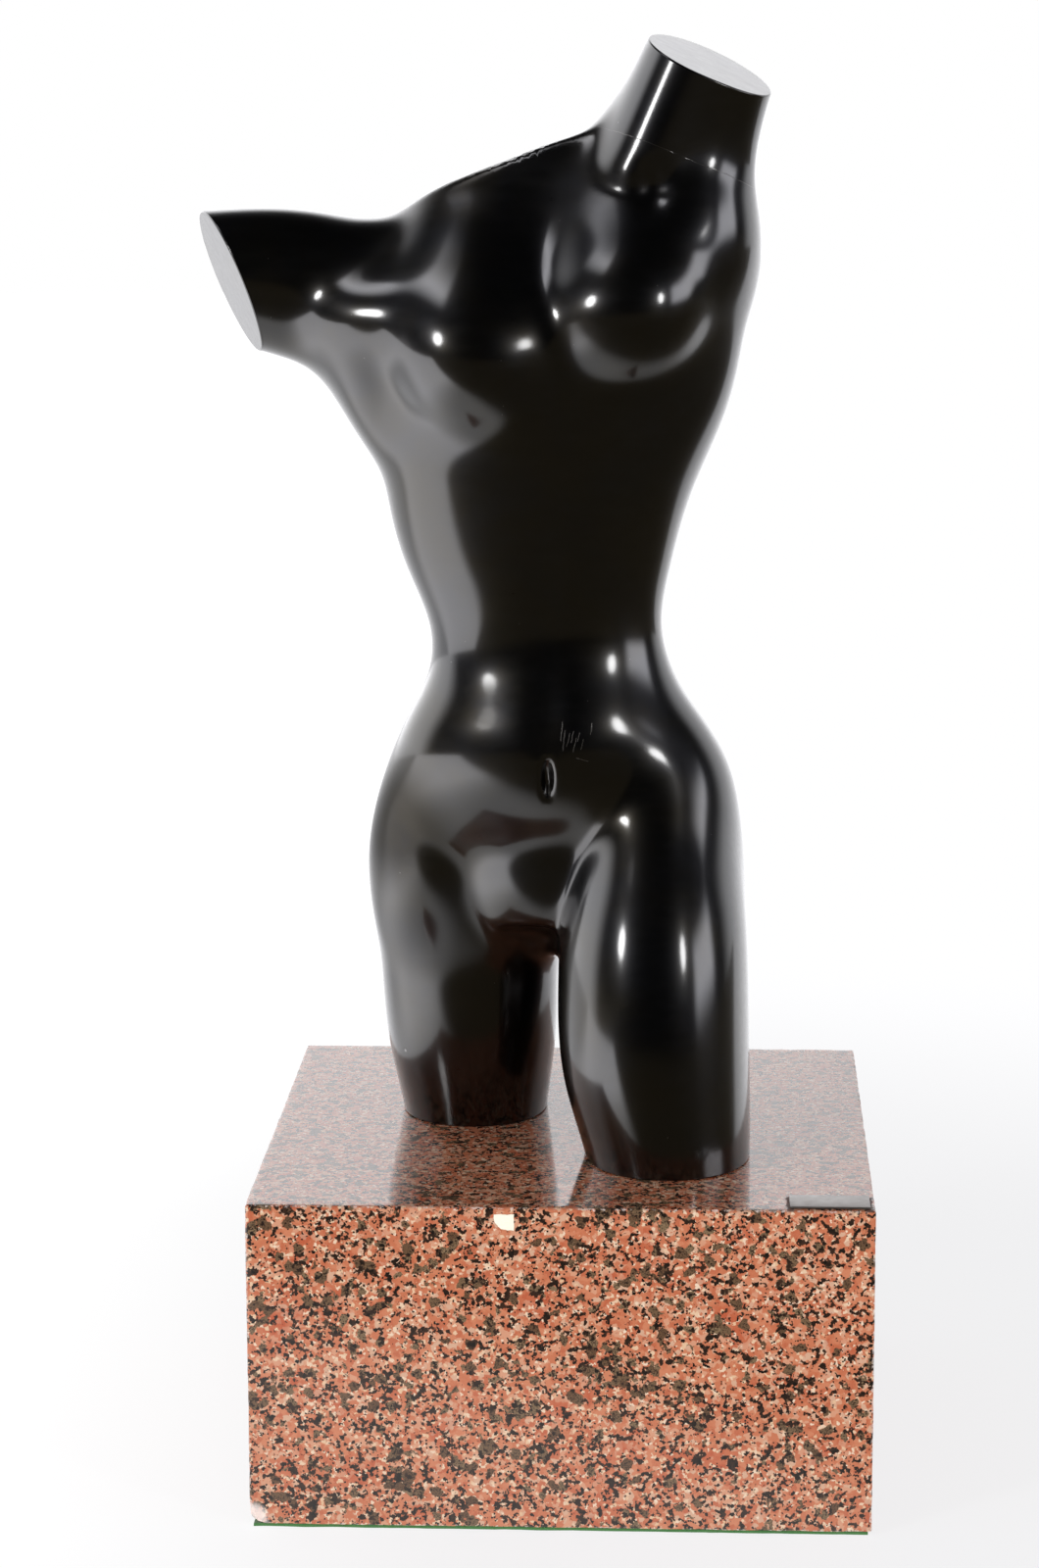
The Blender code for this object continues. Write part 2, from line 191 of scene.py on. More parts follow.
bm = bmesh.new()
felt_half = BLOCK / 2 - FELT_INSET
felt_size = (2 * felt_half, 2 * felt_half, FELT_THICKNESS)
to_place = Matrix.Translation((0, 0, FELT_THICKNESS / 2)) @ Matrix.Diagonal((*felt_size, 1.0))
bmesh.ops.create_cube(bm, size=1.0, matrix=to_place)
level_edges = [e for e in bm.edges if abs(e.verts[0].co.z - e.verts[1].co.z) < 1e-5]
bmesh.ops.subdivide_edges(bm, edges=level_edges, cuts=FELT_CUTS, use_grid_fill=True)
for vertex in bm.verts:
    reach = max(abs(vertex.co.x), abs(vertex.co.y))
    if reach > felt_half - 0.0001:
        wander = 0.5 + 0.5 * noise.noise(Vector((vertex.co.x, vertex.co.y, 0)) * 45)
        ragged = 0.5 + 0.5 * noise.noise(vertex.co * 400)
        share = 1 - (0.0016 * wander + 0.0007 * ragged) / felt_half
        vertex.co.x *= share
        vertex.co.y *= share
luck = np.random.default_rng(7)
for _ in range(FIBRES):
    along, out, up = luck.uniform(-0.97, 0.97), luck.uniform(-0.9, 0.9), luck.uniform(0.15, 0.85)
    side = luck.integers(0, 4)
    tip = felt_half - 0.0005 + luck.uniform(0.0002, 0.0014)
    fibre = bmesh.ops.create_cone(
        bm, segments=3, radius1=0.00008, radius2=0.00003, depth=FIBRE_LENGTH, cap_ends=True
    )
    lie = (
        Matrix.Rotation(side * np.pi / 2, 4, "Z")
        @ Matrix.Translation((tip - FIBRE_LENGTH / 2, along * felt_half, up * FELT_THICKNESS))
        @ Matrix.Rotation(out, 4, "Z")
        @ Matrix.Rotation(np.pi / 2, 4, "Y")
    )
    bmesh.ops.transform(bm, matrix=lie, verts=fibre["verts"])
finish_piece("felt_sheet", bm, felt, "felt_pad")

# Granite block
# One block of red granite, sawn square, polished on every face, with its arrises just taken off. The
# lower front corner on the viewer's left is broken away, and there are small chips along the arrises.
BLOCK_HEIGHT = 0.214
BLOCK_BOTTOM = FELT_THICKNESS + REST_GAP
BLOCK_TOP = BLOCK_BOTTOM + BLOCK_HEIGHT
ARRIS = 0.0016
MESH_STEP = 0.006

# The planes that the lower front corner broke along, each a place and an outward normal.
CORNER_BREAKS = (
    ((-0.1955, -0.1965, 0.0040), (-0.72, -0.42, -0.55)),
    ((-0.1978, -0.1972, 0.0100), (-0.83, -0.50, -0.24)),
    ((-0.1930, -0.1975, 0.0030), (-0.30, -0.42, -0.86)),
)

# In millimetres: the broken corner's middle, the paper scrap's sides and levels on the front, and the
# plate's centre and half length, beside which glue has oozed.
BROKEN_CORNER = (-198.0, -199.0, 7.0)
SCRAP_SIDES = (-41.5, -28.5)
SCRAP_LEVELS = (197.6, 212.0)
SCRAP_TEAR = 207.0
PLATE_ACROSS, PLATE_HALF = 171.0, 25.5


def vector_math(tree, operation, first, second=(0.0, 0.0, 0.0), output="Vector", **inputs):
    """One step of vector arithmetic. Where it gives a number, the output is Value."""
    node = add_node(tree, "ShaderNodeVectorMath", {0: first, 1: second, **inputs}, operation=operation)
    return node.outputs[output]


def colour_steps(tree, value, steps):
    """Colours by value: each step is a place from 0 to 1 and the colour from there on."""
    ramp = add_node(tree, "ShaderNodeValToRGB", {"Fac": value})
    ramp.color_ramp.interpolation = "CONSTANT"
    points = ramp.color_ramp.elements
    while len(points) < len(steps):
        points.new(1.0)
    for point, (at, colour) in zip(points, steps):
        point.position = at
        point.color = (*colour, 1.0)
    return ramp.outputs["Color"]


def crystals(tree, vector, size, seed):
    """A different number from 0 to 1 in each crystal, with crystals about size millimetres across."""
    moved = vector_math(tree, "ADD", vector, (seed, seed * 1.7, -seed))
    cells = add_node(tree, "ShaderNodeTexVoronoi", {"Vector": moved, "Scale": 1.0 / size})
    parts = add_node(tree, "ShaderNodeSeparateColor", {"Color": cells.outputs["Color"]})
    return parts.outputs["Red"], parts.outputs["Green"], cells.outputs["Distance"]


def warped(tree, vector, size, amount):
    """The place moved about by noise, so that what is drawn there gets an irregular outline."""
    wander = noise_at(tree, vector, size, 3.0, 0.6).outputs["Color"]
    centred = vector_math(tree, "SUBTRACT", wander, (0.5, 0.5, 0.5))
    return vector_math(tree, "ADD", vector, vector_math(tree, "SCALE", centred, Scale=amount))


granite, tree, shader, place = new_material("polished red granite")
grain = warped(tree, place, 2.2, 3.2)
drift = noise_at(tree, place, 26.0, 3.0, 0.6).outputs["Fac"]
clump = noise_at(tree, place, 7.0, 2.0, 0.6).outputs["Fac"]

feldspar, _, _ = crystals(tree, grain, 3.3, 0.0)
body = colour_steps(
    tree,
    feldspar,
    (
        (0.0, (0.43, 0.12, 0.054)),
        (0.3, (0.475, 0.160, 0.080)),
        (0.55, (0.385, 0.083, 0.034)),
        (0.7, (0.53, 0.265, 0.165)),
        (0.9, (0.53, 0.345, 0.240)),
    ),
)
cloud = noise_at(tree, place, 1.3, 3.0, 0.6).outputs["Fac"]
body = mix(tree, between(tree, cloud, 0.0, 0.5), body, (0.53, 0.225, 0.132))
red_drift = math(tree, "MULTIPLY", band(tree, drift, 0.5, 0.72), 0.55)
body = mix(tree, red_drift, body, (0.37, 0.055, 0.020))

cream, cream_tone, _ = crystals(tree, grain, 2.0, 31.0)
pale = mix(tree, cream_tone, (0.60, 0.38, 0.23), (0.68, 0.53, 0.40))
body = mix(tree, math(tree, "LESS_THAN", cream, 0.13), body, pale)

quartz, quartz_tone, _ = crystals(tree, warped(tree, place, 2.8, 4.6), 5.8, 57.0)
smoky = mix(tree, quartz_tone, (0.105, 0.054, 0.029), (0.19, 0.125, 0.070))
speckled = noise_at(tree, place, 0.9, 2.0).outputs["Fac"]
smoky = mix(tree, band(tree, speckled, 0.5, 0.62), smoky, (0.035, 0.021, 0.014))
quartz_share = between(tree, clump, 0.03, 0.25)
body = mix(tree, math(tree, "LESS_THAN", quartz, quartz_share), body, smoky)

mica, mica_tone, _ = crystals(tree, warped(tree, place, 1.4, 2.6), 2.3, 83.0)
dark = mix(tree, mica_tone, (0.007, 0.006, 0.005), (0.040, 0.019, 0.012))
mica_share = math(tree, "MULTIPLY", band(tree, clump, 0.36, 0.66), 0.48)
is_mica = math(tree, "LESS_THAN", mica, mica_share)
body = mix(tree, is_mica, body, dark)
fleck, _, fleck_reach = crystals(tree, warped(tree, place, 0.8, 1.2), 1.5, 12.0)
is_fleck = math(tree, "LESS_THAN", fleck, 0.10)
is_fleck = math(tree, "MULTIPLY", is_fleck, math(tree, "LESS_THAN", fleck_reach, 0.5))
body = mix(tree, is_fleck, body, (0.020, 0.011, 0.008))

parts = add_node(tree, "ShaderNodeSeparateXYZ", {"Vector": place})
across, deep, high = parts.outputs
half = 500 * BLOCK
to_side = math(tree, "SUBTRACT", half, math(tree, "ABSOLUTE", across))
to_face = math(tree, "SUBTRACT", half, math(tree, "ABSOLUTE", deep))
middle = 500 * (BLOCK_TOP + BLOCK_BOTTOM)
from_middle = math(tree, "ABSOLUTE", math(tree, "SUBTRACT", high, middle))
to_level = math(tree, "SUBTRACT", 500 * BLOCK_HEIGHT, from_middle)
nearest = fold(tree, "MINIMUM", to_side, to_face, to_level)
furthest = fold(tree, "MAXIMUM", to_side, to_face, to_level)
total = fold(tree, "ADD", to_side, to_face, to_level)
second = fold(tree, "SUBTRACT", total, nearest, furthest)
bruise = noise_at(tree, place, 3.4, 4.0, 0.7).outputs["Fac"]
bruise = math(tree, "ADD", second, math(tree, "MULTIPLY", math(tree, "SUBTRACT", bruise, 0.5), 9.0))
chipped = band(tree, bruise, 0.9, -0.3)
body = mix(tree, math(tree, "MULTIPLY", chipped, 0.7), body, (0.80, 0.66, 0.60))

broken = vector_math(tree, "DISTANCE", warped(tree, place, 2.0, 3.0), BROKEN_CORNER, output="Value")
broken = band(tree, broken, 12.0, 6.0)
body = mix(tree, math(tree, "MULTIPLY", broken, 0.75), body, (0.84, 0.74, 0.70))

torn = warped(tree, place, 2.5, 1.6)
torn_parts = add_node(tree, "ShaderNodeSeparateXYZ", {"Vector": torn})
torn_x, _, torn_z = torn_parts.outputs
under_tear = math(tree, "MINIMUM", math(tree, "SUBTRACT", torn_z, SCRAP_TEAR), 0.0)
left_edge = fold(tree, "ADD", torn_x, -SCRAP_SIDES[0], math(tree, "MULTIPLY", under_tear, 0.9))
right_edge = math(tree, "SUBTRACT", SCRAP_SIDES[1], torn_x)
low_edge = math(tree, "ADD", torn_z, math(tree, "MULTIPLY", torn_x, 0.12))
low_edge = math(tree, "SUBTRACT", low_edge, SCRAP_LEVELS[0])
high_edge = math(tree, "SUBTRACT", SCRAP_LEVELS[1], torn_z)
scrap = fold(tree, "MINIMUM", left_edge, right_edge, low_edge, high_edge)
scrap = math(tree, "MULTIPLY", band(tree, scrap, 0.0, 0.25), math(tree, "LESS_THAN", deep, -199.0))
paper = mix(tree, speckled, (0.82, 0.74, 0.56), (0.90, 0.86, 0.74))
body = mix(tree, scrap, body, paper)

glue_edge = noise_at(tree, place, 4.0, 3.0, 0.6).outputs["Fac"]
from_plate = math(tree, "ABSOLUTE", math(tree, "SUBTRACT", across, PLATE_ACROSS))
from_plate = math(tree, "SUBTRACT", from_plate, PLATE_HALF)
glue = band(tree, math(tree, "ADD", from_plate, math(tree, "MULTIPLY", glue_edge, 6.0)), 5.4, 4.2)
near_front = math(tree, "LESS_THAN", deep, -170.0)
on_top = math(tree, "GREATER_THAN", high, 215.5)
glue = fold(tree, "MULTIPLY", glue, near_front, on_top, math(tree, "GREATER_THAN", from_plate, -3.0))
body = mix(tree, math(tree, "MULTIPLY", glue, 0.8), body, (0.10, 0.055, 0.045))

smear = noise_at(tree, place, 22.0, 4.0, 0.6).outputs["Fac"]
polish = between(tree, smear, 0.055, 0.115)
worn = fold(tree, "MAXIMUM", chipped, broken, scrap, glue)
polish = math(tree, "MAXIMUM", polish, math(tree, "MULTIPLY", worn, 0.6))
relief = math(tree, "SUBTRACT", math(tree, "MULTIPLY", is_mica, -0.04), math(tree, "MULTIPLY", chipped, 1.0))
relief = math(tree, "ADD", relief, math(tree, "MULTIPLY", scrap, 0.35))
pitted = noise_at(tree, place, 1.1, 4.0, 0.7).outputs["Fac"]
relief = math(tree, "ADD", relief, fold(tree, "MULTIPLY", pitted, worn, 0.8))
connect(tree, shader, Base_Color=body, Roughness=polish, Normal=bump(tree, relief, 0.0004))
shader.inputs["IOR"].default_value = 1.55

bm = bmesh.new()
block_size = (BLOCK, BLOCK, BLOCK_HEIGHT)
to_place = Matrix.Translation((0, 0, (BLOCK_TOP + BLOCK_BOTTOM) / 2)) @ Matrix.Diagonal((*block_size, 1.0))
bmesh.ops.create_cube(bm, size=1.0, matrix=to_place)
for spot, normal in CORNER_BREAKS:
    everything = [*bm.verts, *bm.edges, *bm.faces]
    cut = bmesh.ops.bisect_plane(
        bm, geom=everything, dist=1e-6, plane_co=spot, plane_no=normal, clear_outer=True
    )
    bmesh.ops.edgeloop_fill(bm, edges=[e for e in cut["geom_cut"] if isinstance(e, bmesh.types.BMEdge)])
bmesh.ops.recalc_face_normals(bm, faces=bm.faces[:])
long_edges = [e for e in bm.edges if e.calc_length() > 0.05]
bmesh.ops.bevel(
    bm,
    geom=long_edges,
    offset=ARRIS,
    segments=4,
    profile=0.5,
    affect="EDGES",
    material=-1,
    clamp_overlap=True,
)
for axis, span in ((0, BLOCK), (1, BLOCK), (2, BLOCK_HEIGHT)):
    for step in range(1, round(span / MESH_STEP)):
        spot = Vector((0, 0, BLOCK_BOTTOM if axis == 2 else 0))
        spot[axis] += step * MESH_STEP - (0 if axis == 2 else span / 2)
        normal = Vector((axis == 0, axis == 1, axis == 2))
        everything = [*bm.verts, *bm.edges, *bm.faces]
        bmesh.ops.bisect_plane(bm, geom=everything, dist=1e-6, plane_co=spot, plane_no=normal)
for vertex in bm.verts:
    gaps = sorted(
        (
            BLOCK / 2 - abs(vertex.co.x),
            BLOCK / 2 - abs(vertex.co.y),
            BLOCK_HEIGHT / 2 - abs(vertex.co.z - (BLOCK_TOP + BLOCK_BOTTOM) / 2),
        )
    )
    if gaps[1] < ARRIS * 1.05:
        knock = max(0.0, noise.noise(vertex.co * 120) + 0.1) * 0.0007
        knock += max(0.0, noise.noise(vertex.co * 30)) * 0.0004
        inward = Vector((0, 0, (BLOCK_TOP + BLOCK_BOTTOM) / 2)) - vertex.co
        for axis, size in enumerate(block_size):
            if size / 2 - abs(inward[axis]) > ARRIS * 1.05:
                inward[axis] = 0
        if inward.length:
            vertex.co += inward.normalized() * knock
finish_piece("granite_block", bm, granite, "plinth")

# Plate
# A small rectangle of grey brushed metal glued to the top of the block at its front right corner. It is
# left blank.
PLATE_SIZE = (0.051, 0.026, 0.0014)
PLATE_CENTRE = (0.171, -0.1835, BLOCK_TOP + REST_GAP + PLATE_SIZE[2] / 2)

plate_metal, tree, shader, place = new_material("grey brushed metal")
drawn = add_node(tree, "ShaderNodeMapping", {"Vector": place, "Scale": (0.05, 1.0, 1.0)}).outputs["Vector"]
brushing = noise_at(tree, drawn, 0.16, 4.0, 0.7).outputs["Fac"]
clouding = noise_at(tree, place, 7.0, 4.0, 0.6).outputs["Fac"]
metal = mix(tree, brushing, (0.20, 0.185, 0.175), (0.32, 0.30, 0.285))
metal = mix(tree, between(tree, clouding, 0.0, 0.7), metal, (0.17, 0.15, 0.135))
dullness = math(tree, "ADD", between(tree, clouding, 0.18, 0.42), between(tree, brushing, 0.0, 0.12))
connect(tree, shader, Base_Color=metal, Roughness=dullness, Normal=bump(tree, brushing, 0.00003))
shader.inputs["Metallic"].default_value = 0.85

bm = bmesh.new()
to_place = Matrix.Translation(PLATE_CENTRE) @ Matrix.Diagonal((*PLATE_SIZE, 1.0))
bmesh.ops.create_cube(bm, size=1.0, matrix=to_place)
bmesh.ops.bevel(
    bm,
    geom=bm.edges[:],
    offset=0.00035,
    segments=3,
    profile=0.5,
    affect="EDGES",
    material=-1,
    clamp_overlap=True,
)
finish_piece("grey_plate", bm, plate_metal, "blank_plate")

# Torso
# A bronze casting, patinated almost black and polished to a gloss. The neck, the raised arm, the drawn-back
# shoulder and both thighs end in flat sawn cuts, whose rims are eased. The tables give the carved form in
# millimetres from the top of the block, and the CAD solid's skin is made fine and drawn onto that form.
MM = 0.001
FIGURE_BASE = BLOCK_TOP + REST_GAP
SKIN_STEP = 2.8
SKIN_ROUNDS = 5
FINE_ROUNDS = 3
RIM_STEPS = 4

# Height, centre x, half width, centre y, depth to the front, depth to the back.
TRUNK = (
    (80, -4, 112, 8, 34, 66),
    (140, -7.5, 121, 8, 37, 76),
    (180, -11, 123, 7, 44, 75),
    (221, -12, 118, 3, 56, 62),
    (262, -11, 105, -2, 61, 50),
    (300, -11.5, 86, -5, 56, 43),
    (341, -15.5, 77, -4, 51, 42),
    (381, -20.5, 87, -1, 56, 50),
    (433, -20, 101.5, 5, 66, 61),
    (485, -11, 114, 8, 71, 67),
    (540, -3, 118, 12, 68, 66),
    (600, 4, 116, 20, 55, 54),
    (680, 10, 108, 26, 36, 36),
)
TRUNK_ROUNDNESS = 2.25
THIGH_ROUNDNESS = 2.15
LEFT_THIGH = (
    (-40, -66, 46, 48, 57, 57),
    (0, -67, 49.5, 44, 60, 61),
    (48, -68.5, 57, 38, 62, 68),
    (110, -70, 60, 26, 52, 72),
    (170, -72, 59, 14, 44, 70),
    (230, -70, 48, 6, 36, 58),
)
RIGHT_THIGH = (
    (-40, 70, 50, -80, 57, 58),
    (0, 67, 54.5, -72, 67, 65),
    (48, 60, 61.5, -62, 76, 74),
    (110, 57, 63, -50, 80, 86),
    (170, 57, 59, -28, 80, 90),
    (215, 57, 49, -10, 70, 72),
    (270, 55, 36, 2, 50, 48),
)

# The arm runs from the chest out to -X. Distance, centre z, half height, centre y, depths.
ARM = (
    (60, 520, 96, 10, 50, 50),
    (110, 524, 88, 10, 50, 50),
    (142, 541, 70, 8, 48, 48),
    (160, 557, 57, 5, 42, 45),
    (190, 569, 48.5, 0, 38, 40),
    (230, 574, 43, -5, 37, 37),
    (290, 574, 38, -12, 34, 34),
)

# The neck's sections lie across its lean, and their distance is from the cut, downwards.
NECK = (
    (-60, 0, 38, 0, 37, 37),
    (0, 0, 42, 0, 37, 40),
    (32, 0, 47.5, 3, 39, 44),
    (70, 2, 58, 9, 44, 50),
    (120, 6, 74, 14, 48, 50),
    (180, 8, 60, 16, 40, 40),
)
NECK_CUT = ((93, -3, 709), (0.42, -0.21, 0.883))
NECK_LEAN = (0.41, -0.03, 0.912)

# How far along each limb its end lies inside the body, and how softly it is closed there.
NECK_ROOT = (150, 40)
ARM_ROOT = (-70, 30)
LEFT_THIGH_ROOT = (215, 60)
RIGHT_THIGH_ROOT = (252, 40)
LIMB_BLEND = 24
BETWEEN_THIGHS = 8

# Places and outward normals of two of the flat cuts, and of the planes that end the trunk, with a blend.
ARM_CUT = ((-222, -6, 570), (-0.88, -0.33, -0.35))
SHOULDER_CUT = ((81, 104, 584), (0.08, 0.975, -0.2))
TRUNK_ENDS = (
    ((-46, -28, 652), (-0.371, 0.30, 0.928), 12),
    ((20, 0, 672), (0.5, 0.0, 0.866), 40),
    ((0, 0, 118), (0, 0, -1), 50),
)

# Centre, radii, blend, tilt toward +X and lean backwards in degrees of each mass added to the limbs.
MASSES = {
    "breast_left": ((-57, -40, 528), (54, 40, 49), 40, -10, 25),
    "breast_left_slope": ((-62, -31, 566), (46, 27, 64), 36, 0, 34),
    "breast_right": ((37, -41, 555), (50, 40, 45), 40, 14, 25),
    "breast_right_slope": ((40, -27, 594), (42, 27, 54), 36, 10, 34),
    "chest_to_arm": ((-108, -20, 546), (56, 36, 34), 30, 0, 0),
    "chest_to_shoulder": ((82, -10, 596), (36, 36, 52), 36, 0, 0),
    "belly": ((-6, -30, 266), (62, 42, 46), 40, 0, 0),
    "low_belly": ((-30, -20, 246), (76, 44, 52), 34, -24, 0),
    "hip_left": ((-92, 2, 186), (36, 37, 60), 16, 0, 0),
    "hip_right": ((60, -16, 214), (46, 48, 72), 36, 0, 0),
    "buttock_left": ((-58, 56, 142), (58, 46, 60), 26, 0, 0),
    "buttock_right": ((52, 44, 156), (58, 46, 60), 26, 0, 0),
    "shoulder_blade_left": ((-66, 44, 548), (46, 34, 52), 36, 0, 0),
    "shoulder_blade_right": ((56, 50, 560), (44, 34, 50), 36, 0, 0),
    "drawn_back_shoulder": ((75, 46, 604), (42, 62, 43), 30, 0, 0),
}

# Rounded limbs from one place to another with a radius and a blend, and the mass between the thighs.
RIGHT_ARM = ((76, 50, 602), (84, 140, 572), 38, 30)
NECK_FRONT = ((78, -9, 706), (50, -11, 640), 33, 10)
MONS = ((-16, -30, 180), (44, 26, 50), 20)
MONS_LEDGE = ((-22, -56, 150), (0.0, -0.25, -0.97))
LEDGE_BLEND = 5

# Furrows from one place to another with a width and a depth, hollows, and the places of the finest forms.
SPINE = ((-14, 62, 245), (8, 80, 600), 15, 7)
CLEFT = ((-6, 96, 40), (-6, 90, 215), 10, 18)
BELLY_LINE = ((-13, -78, 262), (-12, -62, 400), 12, 2.5)
HOLLOWS = {
    "navel": ((-12, -79, 250), (4.5, 10, 16), 5),
    "neck_pit": ((55, -56, 634), (8, 14, 12), 18),
}
FINE_PLACES = (((-12, -68, 249), 24), ((-22, -60, 149), 42))

# Each flat cut: its centre and outward normal, the way the stump runs on, and the eased rim's radius.
CUTS = (
    (*NECK_CUT, NECK_LEAN, 1.3),
    (*ARM_CUT, (-1.0, -0.05, 0.05), 1.3),
    (*SHOULDER_CUT, (0.08, 0.95, -0.3), 1.3),
    ((0, 0, 0), (0, 0, -1), (0, 0, -1), 0.9),
)
CUT_REACH = 85.0
STUMP = 18.0
ON_CUT = 0.1


def smooth_curve(stations):
    """A natural cubic spline through rows of (position, values...), as a function of position."""
    table = np.array(stations, float)
    knots, values = table[:, 0], table[:, 1:]
    gap = np.diff(knots)[:, None]
    slope = np.diff(values, axis=0) / gap
    count = len(knots)
    system = np.eye(count)
    right = np.zeros_like(values)
    for i in range(1, count - 1):
        system[i, i - 1 : i + 2] = gap[i - 1, 0], 2 * (gap[i - 1, 0] + gap[i, 0]), gap[i, 0]
        right[i] = 6 * (slope[i] - slope[i - 1])
    bend = np.linalg.solve(system, right)

    def at(position):
        place = np.clip(position, knots[0], knots[-1])
        i = np.clip(np.searchsorted(knots, place) - 1, 0, count - 2)
        width = gap[i]
        low = (knots[i + 1] - place)[:, None] / width
        high = 1 - low
        curve = (low**3 - low) * bend[i] + (high**3 - high) * bend[i + 1]
        return low * values[i] + high * values[i + 1] + curve * width**2 / 6

    return at


def smooth_union(a, b, blend):
    near = np.maximum(blend - np.abs(a - b), 0) / blend
    return np.minimum(a, b) - near**3 * blend / 6


def smooth_overlap(a, b, blend):
    return -smooth_union(-a, -b, blend)


def plane_distance(points, plane):
    place, normal = (np.array(v, float) for v in plane)
    return (points - place) @ (normal / np.linalg.norm(normal))


def tube_distance(along, across, depth, curve, roundness=2.0):
    """Distance to a limb whose section at each place along it is a rounded oval."""
    centre, half, middle, front, back = curve(along).T
    u = (across - centre) / half
    v_radius = np.where(depth < middle, front, back)
    v = (depth - middle) / v_radius
    reach = np.maximum((np.abs(u) ** roundness + np.abs(v) ** roundness) ** (1 / roundness), 0.05)
    steep = np.hypot(np.abs(u) ** (roundness - 1) / half, np.abs(v) ** (roundness - 1) / v_radius)
    return (reach - 1) * reach ** (roundness - 1) / np.maximum(steep, 1e-4)


def mass_distance(points, centre, radii, sideways=0.0, backwards=0.0):
    """Distance to an egg-shaped mass, tilted in degrees so that its +X side rises and its top leans back."""
    turned = Matrix.Rotation(np.radians(-sideways), 3, "Y") @ Matrix.Rotation(np.radians(-backwards), 3, "X")
    from_centre = (points - np.array(centre, float)) @ np.array(turned)
    radii = np.array(radii, float)
    near = np.linalg.norm(from_centre / radii, axis=1)
    slope = np.linalg.norm(from_centre / radii**2, axis=1)
    return near * (near - 1) / np.maximum(slope, 1e-6)


def away_from_line(points, start, end):
    """How far points are from a straight line's nearest place, and what share of its length that is at."""
    start, end = np.array(start, float), np.array(end, float)
    line = end - start
    share = np.clip((points - start) @ line / (line @ line), 0, 1)
    return np.linalg.norm(points - start - share[:, None] * line, axis=1), share


def furrow(points, start, end, width):
    """How much of a furrow's depth is taken at each point: 1 along its line, 0 well away from it."""
    away, share = away_from_line(points, start, end)
    return np.exp(-((away / width) ** 2)) * np.sin(np.pi * np.clip(share, 0.02, 0.98)) ** 0.5


def limb_end(limb, along, end, blend):
    """Closes a limb inside the body, where its distance along passes its end."""
    return smooth_overlap(limb, along - end, blend)


def neck_axes():
    """The neck's lean, and the direction across it in the figure's front plane."""
    lean = np.array(NECK_LEAN) / np.linalg.norm(NECK_LEAN)
    across = np.cross(np.array((0.0, 1.0, 0.0)), lean)
    across /= np.linalg.norm(across)
    return lean, across, np.cross(lean, across)


TRUNK_CURVE = smooth_curve(TRUNK)
LEFT_THIGH_CURVE = smooth_curve(LEFT_THIGH)
RIGHT_THIGH_CURVE = smooth_curve(RIGHT_THIGH)
ARM_CURVE = smooth_curve(ARM)
NECK_CURVE = smooth_curve(NECK)


def carved_form(points):
    """Signed distance from the figure's surface at points in millimetres, negative inside."""
    x, y, z = points.T
    form = tube_distance(z, x, y, TRUNK_CURVE, TRUNK_ROUNDNESS)
    for place, normal, blend in TRUNK_ENDS:
        form = smooth_overlap(form, plane_distance(points, (place, normal)), blend)

    neck_end, _ = NECK_CUT
    lean, across, depth = neck_axes()
    from_cut = points - np.array(neck_end, float)
    down_neck = -from_cut @ lean
    neck = tube_distance(down_neck, from_cut @ across, from_cut @ depth, NECK_CURVE)
    form = smooth_union(form, limb_end(neck, down_neck, *NECK_ROOT), LIMB_BLEND)
    arm = tube_distance(-x, z, y, ARM_CURVE)
    form = smooth_union(form, limb_end(arm, x, *ARM_ROOT), LIMB_BLEND)
    left = limb_end(tube_distance(z, x, y, LEFT_THIGH_CURVE, THIGH_ROUNDNESS), z, *LEFT_THIGH_ROOT)
    right = limb_end(tube_distance(z, x, y, RIGHT_THIGH_CURVE, THIGH_ROUNDNESS), z, *RIGHT_THIGH_ROOT)
    form = smooth_union(form, smooth_union(left, right, BETWEEN_THIGHS), LIMB_BLEND)

    for centre, radii, blend, sideways, backwards in MASSES.values():
        form = smooth_union(form, mass_distance(points, centre, radii, sideways, backwards), blend)
    for start, end, radius, blend in (RIGHT_ARM, NECK_FRONT):
        form = smooth_union(form, away_from_line(points, start, end)[0] - radius, blend)
    centre, radii, blend = MONS
    mons = mass_distance(points, centre, radii)
    mons = smooth_overlap(mons, plane_distance(points, MONS_LEDGE), LEDGE_BLEND)
    form = smooth_union(form, mons, blend)
    for start, end, width, depth in (SPINE, CLEFT, BELLY_LINE):
        form = form + depth * furrow(points, start, end, width)
    for centre, radii, blend in HOLLOWS.values():
        form = smooth_overlap(form, -mass_distance(points, centre, radii), blend)
    return form


def hand_finished(points):
    """The carved form with the slight waves that filing and polishing leave, about 0.1 mm high."""
    x, y, z = points.T
    waves = np.sin(x / 11 + 2 * np.sin(z / 31)) + np.sin(z / 13 + y / 17) + np.sin(y / 9 - x / 23 + z / 37)
    return carved_form(points) + 0.035 * waves


def slope_of(form, points, reach):
    """The form's gradient at points."""
    sides = np.eye(3) * reach
    return np.stack([(form(points + side) - form(points - side)) / (2 * reach) for side in sides], axis=1)


def settle(bm, form, step, rounds):
    """Draws every vertex onto the form along its slope, and evens the faces out between the rounds."""
    for turn in range(rounds):
        if turn < rounds - 2:
            bmesh.ops.smooth_vert(
                bm, verts=bm.verts, factor=0.5, use_axis_x=True, use_axis_y=True, use_axis_z=True
            )
        points = np.array([v.co for v in bm.verts])
        distance = form(points)
        reach = 0.02 * step
        slope = np.stack([(form(points + side) - distance) / reach for side in np.eye(3) * reach], axis=1)
        steepness = np.maximum((slope**2).sum(axis=1), 0.05)
        move = -slope * (distance / steepness)[:, None]
        length = np.linalg.norm(move, axis=1)
        move *= np.minimum(1, step / np.maximum(length, 1e-9))[:, None]
        for vertex, shift in zip(bm.verts, move):
            vertex.co += Vector(shift)


